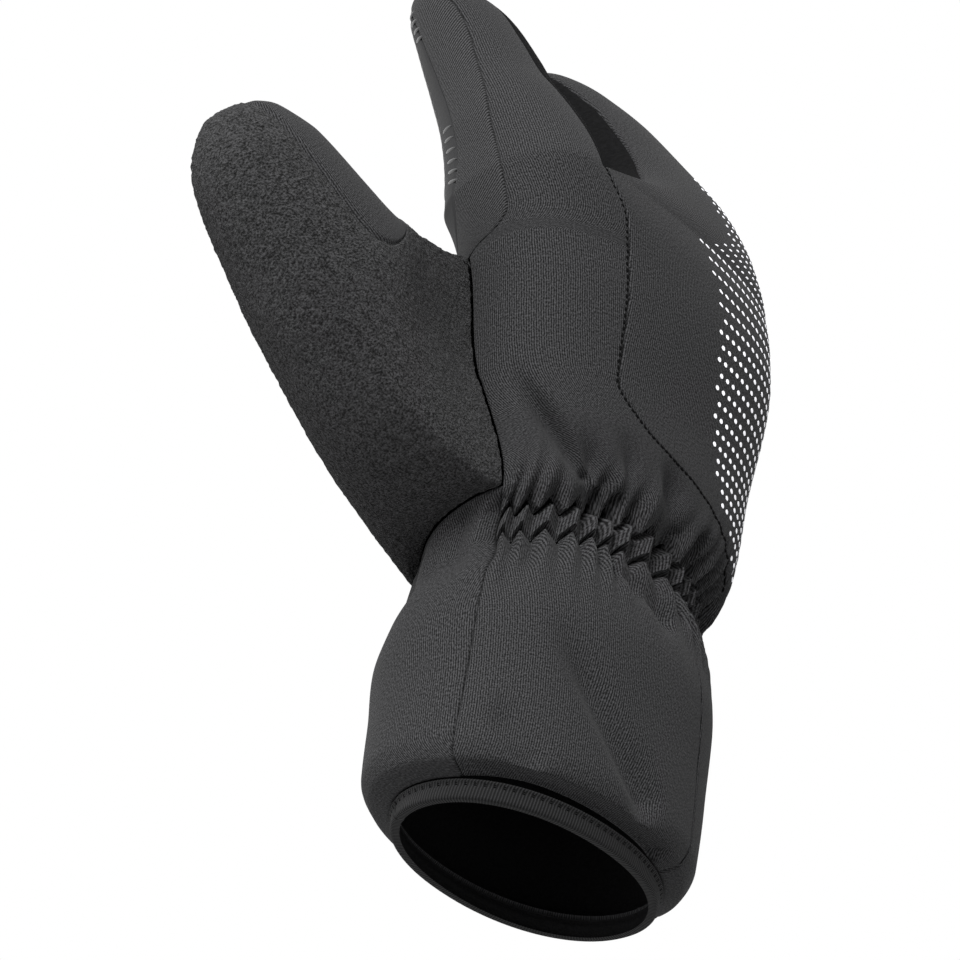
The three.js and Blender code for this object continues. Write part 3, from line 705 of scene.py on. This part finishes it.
def lay_copies(context, name, shape, node, places, material):
    """Copies of a shape as one piece, each laid on a panel at its station and angle, and turned."""
    sizes = context.scene.mitt_cloth
    panel = PANELS[node]
    at, angle, turn = (column[:, None] for column in np.array(places, float).T)
    per_station, per_degree = lengths_per_step(panel, at, angle)
    x, y, z = shape.vertices.T
    across = angle + (x * np.cos(turn) - y * np.sin(turn)) / per_degree
    along = at + (x * np.sin(turn) + y * np.cos(turn)) / per_station
    skin, normal, height = cloth_surface(panel, along, across, sizes)
    points = skin + normal * (height + z)[..., None]
    count = len(shape.vertices)
    faces = [tuple(i + k * count for i in face) for k in range(len(places)) for face in shape.faces]
    mesh = bpy.data.meshes.new(name)
    mesh.from_pydata(points.reshape(-1, 3).tolist(), [], faces)
    piece = bpy.data.objects.new(name, mesh)
    context.collection.objects.link(piece)
    bpy.ops.object.select_all(action="DESELECT")
    piece.select_set(True)
    context.view_layer.objects.active = piece
    bpy.ops.object.shade_smooth_by_angle(angle=SMOOTH_ANGLE)
    mesh.materials.append(finish(context, material))
    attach(piece, "root")
    return piece


def lengths_per_step(panel, at, angle):
    """Metres on the skin for one station along the mitt, and for one degree round it."""
    home = panel.skin(at, angle)
    along = np.linalg.norm(panel.skin(at + STEP, angle) - home, axis=-1) / STEP
    around = np.linalg.norm(panel.skin(at, angle + 1) - home, axis=-1)
    return along, around


def even_places(points, trial, first, pitch):
    """Values of a trial row at even distances along its points."""
    run = travelled(points, 0)
    return np.interp(np.arange(first, run[-1], pitch), run, trial)


def beside_seam(panel, seam, start, end, offset, pitch):
    """Even places along a seam, set off from it, each turned along it."""
    trial = np.linspace(start, end, SEAM_SAMPLES)
    at = even_places(panel.skin(trial, seam(trial)), trial, pitch / 2, pitch)
    angle = seam(at)
    per_station, per_degree = lengths_per_step(panel, at, angle)
    slant = (seam(at + STEP) - seam(at - STEP)) / (2 * STEP) * per_degree / per_station
    return np.stack([at, angle + offset / per_degree, -np.arctan(slant)], axis=-1)


def round_ring(panel, station, pitch, turn):
    """Even places right round the mitt at one station."""
    trial = np.linspace(0, 360, 2 * WIDTH_SAMPLES - 1)
    run = travelled(panel.skin(station, trial), 0)
    count = round(run[-1] / pitch)
    angle = np.interp(np.arange(count) / count * run[-1], run, trial)
    return np.stack([np.full(count, station), angle, np.full(count, turn)], axis=-1)


def dot_rows(panel, trim):
    """Staggered rows of dots, from the print's edge to the little-finger side."""
    edge = line(DOT_PRINT_EDGE)
    places = []
    stations = np.arange(DOT_PRINT_EDGE[0][0], DOT_PRINT_EDGE[-1][0], trim.dot_row_pitch / HAND_WIDTH)
    for number, station in enumerate(stations):
        trial = np.linspace(edge(station), DOT_PRINT_END, ROW_SAMPLES)
        stagger = trim.dot_pitch / 2 * (number % 2)
        angles = even_places(panel.skin(station, trial), trial, stagger, trim.dot_pitch)
        places += [(station, angle, 0) for angle in angles]
    return places


def grip_bars(node, trim):
    """Slanted bars in columns up a palm panel."""
    places = []
    for name, start, end, angle, slant in GRIP_COLUMNS:
        if name == node:
            stations = np.arange(start, end, trim.bar_pitch / HAND_WIDTH)
            places += [(station, angle, math.radians(slant)) for station in stations]
    return places


class Shader:
    """One material's nodes, added and linked by short calls."""

    def __init__(self, name, color, roughness, sheen=0.0, sheen_roughness=0.5, specular=0.5):
        self.color = color[:3]
        self.material = bpy.data.materials.new(name)
        self.material.use_nodes = True
        self.tree = self.material.node_tree
        self.principled = self.tree.nodes["Principled BSDF"]
        self.principled.inputs["Base Color"].default_value = color
        self.principled.inputs["Roughness"].default_value = roughness
        self.principled.inputs["Sheen Weight"].default_value = sheen
        self.principled.inputs["Sheen Roughness"].default_value = sheen_roughness
        self.principled.inputs["Specular IOR Level"].default_value = specular
        self.material.diffuse_color = color

    def feed(self, socket, value):
        if isinstance(value, bpy.types.NodeSocket):
            self.tree.links.new(value, socket)
        else:
            socket.default_value = value

    def node(self, kind, **inputs):
        node = self.tree.nodes.new(kind)
        for name, value in inputs.items():
            self.feed(node.inputs[name.replace("_", " ")], value)
        return node

    def math(self, operation, *values):
        node = self.tree.nodes.new("ShaderNodeMath")
        node.operation = operation
        for socket, value in zip(node.inputs, values):
            self.feed(socket, value)
        return node.outputs[0]

    def cloth_lengths(self):
        """Across and along the cloth, in metres, from the panel's own UV map."""
        uv = self.tree.nodes.new("ShaderNodeUVMap")
        uv.uv_map = "cloth"
        parts = self.node("ShaderNodeSeparateXYZ", Vector=uv.outputs[0])
        return parts.outputs[0], parts.outputs[1]

    def place(self):
        return self.tree.nodes.new("ShaderNodeTexCoord").outputs["Object"]

    def wave(self, length, period):
        """0 to 1 and back, over each period of a length."""
        turns = self.math("MULTIPLY", length, 2 * math.pi / period)
        return self.math("MULTIPLY_ADD", self.math("SINE", turns), 0.5, 0.5)

    def grain(self, vector, size, detail=2.0):
        """Noise whose lumps are about one size across."""
        texture = self.node("ShaderNodeTexNoise", Vector=vector, Scale=1 / size, Detail=detail)
        return texture.outputs["Fac"]

    def stretch(self, value, low, high):
        """A value's run from low to high, stretched to 0 to 1."""
        return self.node("ShaderNodeMapRange", Value=value, From_Min=low, From_Max=high).outputs["Result"]

    def vector(self, x, y, z=0.0):
        return self.node("ShaderNodeCombineXYZ", X=x, Y=y, Z=z).outputs[0]

    def colors(self, factor, dark, light):
        """Run from a dark to a light share of the finish's colour."""
        ramp = self.tree.nodes.new("ShaderNodeMapRange")
        ramp.data_type = "FLOAT_VECTOR"
        self.feed(ramp.inputs["Vector"], self.vector(factor, factor, factor))
        ramp.inputs[9].default_value = [channel * dark for channel in self.color]
        ramp.inputs[10].default_value = [channel * light for channel in self.color]
        self.tree.links.new(ramp.outputs["Vector"], self.principled.inputs["Base Color"])

    def bump(self, height, distance, strength=1.0):
        node = self.node("ShaderNodeBump", Height=height, Distance=distance, Strength=strength)
        self.tree.links.new(node.outputs[0], self.principled.inputs["Normal"])


def knit_finish(color, rib):
    """Fine broken ribs of knit cloth along the mitt."""
    shader = Shader("shell knit", color, 0.85, sheen=0.02, specular=0.06)
    u, v = shader.cloth_lengths()
    wander = shader.grain(shader.vector(u, v), 7 * MM)
    drift = shader.math("MULTIPLY_ADD", wander, 0.6 * MM, u)
    ribs = shader.wave(drift, rib)
    loops = shader.grain(shader.vector(u, shader.math("MULTIPLY", v, 0.7)), 0.42 * MM, 3.0)
    flecks = shader.stretch(loops, 0.36, 0.66)
    height = shader.math("MULTIPLY_ADD", ribs, 0.45, shader.math("MULTIPLY", flecks, 0.55))
    shader.colors(shader.stretch(height, 0.25, 0.9), 0.2, 2.6)
    shader.bump(height, 0.12 * MM)
    return shader.material


def twill_finish(color, pitch):
    """Diagonal lines of twill."""
    shader = Shader("forefinger twill", color, 0.8, sheen=0.02, specular=0.1)
    u, v = shader.cloth_lengths()
    diagonal = shader.math("SUBTRACT", v, u)
    lines = shader.wave(diagonal, pitch * math.sqrt(2))
    threads = shader.stretch(shader.grain(shader.vector(u, v), 0.5 * MM), 0.36, 0.66)
    height = shader.math("MULTIPLY_ADD", threads, 0.4, shader.math("MULTIPLY", lines, 0.6))
    shader.colors(shader.stretch(height, 0.25, 0.9), 0.02, 3.0)
    shader.bump(height, 0.15 * MM)
    return shader.material


def terry_finish(color, curl):
    """Dense curled pile."""
    shader = Shader("thumb fleece", color, 1.0, sheen=0.04, sheen_roughness=0.6, specular=0.08)
    place = shader.place()
    cells = shader.node("ShaderNodeTexVoronoi", Vector=place, Scale=1 / curl)
    cells.feature = "SMOOTH_F1"
    curls = shader.math("SUBTRACT", 1.0, cells.outputs["Distance"])
    fuzz = shader.stretch(shader.grain(place, 0.5 * curl, 4.0), 0.32, 0.68)
    height = shader.math("MULTIPLY_ADD", curls, 0.35, shader.math("MULTIPLY", fuzz, 0.75))
    shader.colors(shader.stretch(height, 0.3, 0.85), 0.05, 2.5)
    shader.bump(height, 1.0 * MM)
    return shader.material


def binding_finish(color, rib):
    """Cross ribs of the narrow hem tape."""
    shader = Shader("hem tape", color, 0.8, sheen=0.02, specular=0.08)
    u, v = shader.cloth_lengths()
    ribs = shader.wave(u, rib)
    fibres = shader.grain(shader.vector(u, v), 0.5 * MM, 3.0)
    height = shader.math("MULTIPLY", ribs, shader.math("ADD", fibres, 0.4))
    shader.colors(height, 0.3, 2.0)
    shader.bump(height, 0.25 * MM)
    return shader.material


class Grain(NamedTuple):
    """A plain finish: its shine, its grain and nap, and whether the grain follows the cloth's own map."""

    label: str
    roughness: float
    specular: float
    size: float
    dark: float
    light: float
    nap: float = 0.0
    detail: float = 2.0
    sheen: float = 0.0
    on_cloth: bool = False


GRAINS = {
    "palm": Grain("palm cloth", 0.75, 0.12, 0.7 * MM, 0.7, 1.3, 0.12 * MM, 4.0, 0.02, True),
    "fleece": Grain("gusset fleece", 1.0, 0.03, 1.4 * MM, 0.4, 1.6, 0.5 * MM, 4.0),
    "lining": Grain("brushed lining", 1.0, 0.03, 0.9 * MM, 0.4, 1.6, 0.25 * MM, 4.0),
    "thread": Grain("sewing thread", 0.9, 0.03, 1.5 * MM, 0.85, 1.1),
    "dots": Grain("reflective print", 0.45, 0.6, 1.5 * MM, 0.85, 1.1),
    "grip": Grain("silicone grip", 0.25, 0.6, 1.5 * MM, 0.85, 1.1),
}


def grained_finish(color, look):
    """Suede, nap, thread, print and rubber: one colour with a grain in it."""
    shader = Shader(look.label, color, look.roughness, look.sheen, specular=look.specular)
    place = shader.vector(*shader.cloth_lengths()) if look.on_cloth else shader.place()
    grain = shader.grain(place, look.size, look.detail)
    shader.colors(grain, look.dark, look.light)
    if look.nap:
        shader.bump(grain, look.nap)
    return shader.material


# The finishes with a weave, and the size that each is made to
WEAVES = {
    "shell": (knit_finish, "rib_pitch"),
    "twill": (twill_finish, "twill_pitch"),
    "terry": (terry_finish, "curl_size"),
    "binding": (binding_finish, "tape_rib"),
}
FINISHES = {}


def finish(context, name):
    """The named material, made when it is first asked for."""
    if name not in FINISHES:
        color = getattr(context.scene.mitt_colors, name)
        if name in WEAVES:
            make, size = WEAVES[name]
            FINISHES[name] = make(color, getattr(context.scene.mitt_cloth, size))
        else:
            FINISHES[name] = grained_finish(color, GRAINS[name])
    return FINISHES[name]


def metres(name, default, description, limit=10.0):
    return bpy.props.FloatProperty(
        name=name, default=default, description=description, subtype="DISTANCE", unit="LENGTH",
        min=0.0, max=limit, precision=5,
    )


def mm(name, default, description):
    return metres(name, default * MM, description, 1.0)


def degrees(name, default, description):
    return bpy.props.FloatProperty(
        name=name, default=math.radians(default), description=description, subtype="ANGLE")


def grey(name, default, description):
    return bpy.props.FloatVectorProperty(
        name=name, default=(default, default, default * BLUENESS, 1.0), description=description,
        subtype="COLOR", size=4, min=0.0, max=1.0,
    )


class MittCloth(bpy.types.PropertyGroup):
    """Walls, seams, gathers and weave."""

    shell_wall: mm("Shell wall", 1.8, "Thickness of the outer cloth")
    terry_wall: mm("Fleece wall", 2.1, "Thickness of the thumb's fleece")
    gusset_wall: mm("Gusset wall", 1.5, "Thickness of the claw gussets")
    binding_wall: mm("Binding wall", 1.7, "Thickness of the hem's binding")
    cell: mm("Cell", 0.8, "Length of a mesh cell")
    seam_roll: mm("Seam roll", 1.1, "Radius of a panel's turned edge")
    pleat_height: mm("Pleat height", 1.8, "Height of the pleats on the back of the wrist")
    palm_pleat_height: mm("Palm pleat height", 1.3, "Height of the palm's wrist pleats")
    pleat_fade: mm("Pleat fade", 13, "Distance over which the pleats run out")
    zigzag_rise: mm("Zigzag rise", 4, "Height of the zigzag of the elastic's seams")
    zigzag_fade: mm("Zigzag fade", 9, "Distance over which the zigzag runs out")
    groove_depth: mm("Groove depth", 2.6, "Depth of the elastic's seams")
    groove_width: mm("Groove width", 1.7, "Distance over which the cloth rises from them")
    strip_groove: mm("Strip groove", 0.9, "Depth of the seam of the thumb's strip")
    hem_lip: mm("Hem lip", 0.5, "How far the hem's top edge stands out")
    hem_groove: mm("Hem groove", 0.5, "Depth and width of the groove under it")
    rib_pitch: mm("Rib pitch", 0.7, "Spacing of the shell's knit ribs")
    twill_pitch: mm("Twill pitch", 0.9, "Spacing of the twill's lines")
    tape_rib: mm("Tape rib", 0.9, "Spacing of the hem tape's ribs")
    curl_size: mm("Curl size", 1.3, "Size of the fleece's curls")
    curl_height: mm("Curl height", 0.45, "Height of the fleece's curls")


class MittColors(bpy.types.PropertyGroup):
    """Colours of the cloths and the trim."""

    shell: grey("Shell", 0.0145, "Outer knit cloth")
    twill: grey("Twill", 0.0125, "Strip along the forefinger")
    palm: grey("Palm", 0.0125, "Palm cloth")
    terry: grey("Fleece", 0.0115, "Curled fleece of the thumb")
    # Gusset fleece: its own dark colour, darkened further to near black as painted shade in the gap between
    # the claws
    fleece: grey("Gusset fleece", 0.004, "Gussets between the claws")
    lining: grey("Lining", 0.006, "Brushed inner face of the cloth")
    binding: grey("Binding", 0.007, "Tape round the hem")
    thread: grey("Thread", 0.002, "Sewing thread")
    dots: grey("Print", 0.72, "Reflective dot print")
    grip: grey("Grip", 0.012, "Silicone bars on the palm")


class MittTrim(bpy.types.PropertyGroup):
    """Stitches, dots and grip bars."""

    stitch_length: mm("Stitch length", 1.4, "Length of one stitch")
    stitch_pitch: mm("Stitch pitch", 1.95, "Distance from stitch to stitch")
    thread_width: mm("Thread width", 0.8, "Thickness of the thread")
    dot_radius: mm("Dot radius", 0.7, "Radius of a printed dot")
    dot_pitch: mm("Dot pitch", 3.1, "Distance from dot to dot in a row")
    dot_row_pitch: mm("Dot row pitch", 4.3, "Distance from row to row")
    print_thickness: mm("Print thickness", 0.12, "How far the print stands out")
    stitch_offset: mm("Stitch offset", 1.0, "Distance of the stitches from their seam")
    hem_stitch_pitch: mm("Hem stitch pitch", 2.7, "Distance from stitch to stitch on the hem")
    bar_length: mm("Bar length", 7, "Length of a grip bar")
    bar_width: mm("Bar width", 1.2, "Width of a grip bar")
    bar_thickness: mm("Bar thickness", 0.7, "Thickness of a grip bar")
    bar_pitch: mm("Bar pitch", 4.6, "Distance from bar to bar")


class MittStudio(bpy.types.PropertyGroup):
    """Camera, floor and lights."""

    azimuth: degrees("Azimuth", 47, "Camera's turn round the mitt")
    elevation: degrees("Elevation", -30, "Camera's height, as an angle")
    roll: degrees("Roll", 10.5, "Camera's roll")
    distance: metres("Distance", 2.0, "From the camera to the mitt")
    floor_drop: metres("Floor drop", 1.25, "Depth of the floor below the mitt's mouth")
    key_power: bpy.props.FloatProperty(
        name="Key power", default=38.0, min=0.0, subtype="POWER", unit="POWER",
        description="Power of the main light")


class MittPiecesOperator:
    """Shared by the operators that make panels."""

    bl_options = {"REGISTER", "UNDO"}
    nodes = ()

    def execute(self, context):
        for node in self.nodes:
            make_panel(context, node)
        return {"FINISHED"}


class MITT_OT_cuff(MittPiecesOperator, bpy.types.Operator):
    """Make the gauntlet's three panels and its bound hem"""

    bl_idname = "mitt.cuff"
    bl_label = "Cuff"

    def execute(self, context):
        trim = context.scene.mitt_trim
        hem = make_panel(context, "hem_binding")
        places = round_ring(PANELS["hem_binding"], HEM_STITCHES, trim.hem_stitch_pitch, math.pi / 2)
        stitch = rounded_bar(trim.thread_width, trim.stitch_length, trim.thread_width)
        stitches = lay_copies(context, "hem_stitches", stitch, "hem_binding", places, "thread")
        make_panel(context, "cuff_palm")
        make_panel(context, "cuff_back")
        make_panel(context, "cuff_side")
        return {"FINISHED"}


class MITT_OT_gathers(MittPiecesOperator, bpy.types.Operator):
    """Make the gathered band round the wrist"""

    bl_idname = "mitt.gathers"
    bl_label = "Wrist gathers"
    nodes = ("wrist_gather_back", "wrist_gather_palm")


class MITT_OT_hand(MittPiecesOperator, bpy.types.Operator):
    """Make the panels of the hand and the two claws, with their stitches, dot print and grip bars"""

    bl_idname = "mitt.hand"
    bl_label = "Hand panels"

    def execute(self, context):
        trim = context.scene.mitt_trim
        index_side, back = PANELS["index_side_panel"], PANELS["back_panel"]
        places = beside_seam(
            index_side, back_seam, BAND_HIGH + STEP, CLAW_CROTCH, -trim.stitch_offset, trim.stitch_pitch)
        stitch = rounded_bar(trim.thread_width, trim.stitch_length, trim.thread_width)
        stitches = lay_copies(context, "back_seam_stitches", stitch, "index_side_panel", places, "thread")
        make_panel(context, "index_side_panel")
        dot = disc(trim.dot_radius, trim.print_thickness)
        dots = lay_copies(context, "dot_print", dot, "back_panel", dot_rows(back, trim), "dots")
        make_panel(context, "back_panel")
        bar = rounded_bar(trim.bar_width, trim.bar_length, trim.bar_thickness)
        for node in ("palm_panel", "heel_panel"):
            bars = lay_copies(context, f"{node}_grip", bar, node, grip_bars(node, trim), "grip")
            make_panel(context, node)
        make_panel(context, "forefinger_strip")
        return {"FINISHED"}


class MITT_OT_gussets(MittPiecesOperator, bpy.types.Operator):
    """Make the fleece gussets between the claws"""

    bl_idname = "mitt.gussets"
    bl_label = "Claw gussets"
    nodes = ("front_claw_gusset", "rear_claw_gusset")


class MITT_OT_thumb(MittPiecesOperator, bpy.types.Operator):
    """Make the two panels of the thumb"""

    bl_idname = "mitt.thumb"
    bl_label = "Thumb"
    nodes = ("thumb_outer", "thumb_inner")


class MITT_OT_studio(bpy.types.Operator):
    """Set up the pale floor, the soft lights and the camera"""

    bl_idname = "mitt.studio"
    bl_label = "Studio"

    def execute(self, context):
        studio = context.scene.mitt_studio
        turn = camera_turn(studio)
        make_camera(context, studio, turn)
        make_floor(context, studio)
        for name, direction, power_share, size in LIGHTS:
            make_light(name, turn @ Vector(direction), studio.key_power * power_share, size)
        world = bpy.data.worlds.new("pale studio")
        world.use_nodes = True
        world.node_tree.nodes["Background"].inputs["Color"].default_value = (1, 1, 1, 1)
        context.scene.world = world
        context.scene.view_settings.view_transform = "Standard"
        return {"FINISHED"}


def camera_turn(studio):
    """The camera's axes as columns: image right, image up, and from the mitt towards the camera."""
    azimuth = Matrix.Rotation(studio.azimuth, 3, "Z")
    elevation = Matrix.Rotation(math.pi / 2 - studio.elevation, 3, "X")
    return azimuth @ elevation @ Matrix.Rotation(studio.roll, 3, "Z")


def make_camera(context, studio, turn):
    camera = bpy.data.objects.new("camera", bpy.data.cameras.new("camera"))
    camera.data.lens = FOCAL_LENGTH
    camera.data.clip_end = FARTHEST
    to_camera = turn @ Vector((0, 0, studio.distance))
    camera.matrix_world = Matrix.Translation(Vector(CAMERA_TARGET) + to_camera) @ turn.to_4x4()
    context.collection.objects.link(camera)
    context.scene.camera = camera


def make_floor(context, studio):
    bpy.ops.mesh.primitive_plane_add(size=FLOOR_SIZE, location=(0, 0, -studio.floor_drop))
    bpy.ops.object.transform_apply()
    floor = context.object
    floor.name = "floor"
    shader = Shader("pale floor", (0.8, 0.8, 0.8, 1.0), 0.9)
    shader.colors(shader.grain(shader.place(), 0.3), 0.975, 1.025)
    floor.data.materials.append(shader.material)


def make_light(name, towards, power, size):
    light = bpy.data.objects.new(name, bpy.data.lights.new(name, "AREA"))
    light.data.energy = power
    light.data.size = size
    towards = towards.normalized()
    light.rotation_mode = "QUATERNION"
    light.rotation_quaternion = towards.to_track_quat("Z", "Y")
    light.location = Vector(CAMERA_TARGET) + towards * LIGHT_DISTANCE
    bpy.context.collection.objects.link(light)


class MITT_PT_sidebar(bpy.types.Panel):
    """Lists the steps of the mitt and their sizes"""

    bl_idname = "MITT_PT_sidebar"
    bl_label = "Lobster Claw Mitt"
    bl_space_type = "VIEW_3D"
    bl_region_type = "UI"
    bl_category = "Mitt"

    def draw(self, context):
        layout = self.layout
        for operator in OPERATORS:
            layout.operator(operator.bl_idname)
        for setting in SETTINGS:
            group = getattr(context.scene, setting)
            box = layout.box()
            for name in type(group).__annotations__:
                box.prop(group, name)


SETTINGS = {
    "mitt_cloth": MittCloth,
    "mitt_colors": MittColors,
    "mitt_trim": MittTrim,
    "mitt_studio": MittStudio,
}
OPERATORS = (
    MITT_OT_studio, MITT_OT_cuff, MITT_OT_gathers, MITT_OT_hand, MITT_OT_gussets, MITT_OT_thumb,
)
CLASSES = (*SETTINGS.values(), *OPERATORS, MITT_PT_sidebar)


def register():
    for cls in CLASSES:
        bpy.utils.register_class(cls)
    for name, group in SETTINGS.items():
        setattr(bpy.types.Scene, name, bpy.props.PointerProperty(type=group))


def unregister():
    for name in SETTINGS:
        delattr(bpy.types.Scene, name)
    for cls in reversed(CLASSES):
        bpy.utils.unregister_class(cls)


def main():
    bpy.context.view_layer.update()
    register()
    bpy.ops.mitt.studio()
    bpy.ops.mitt.cuff()
    bpy.ops.mitt.gathers()
    bpy.ops.mitt.hand()
    bpy.ops.mitt.gussets()
    bpy.ops.mitt.thumb()


if __name__ == "__main__":
    main()
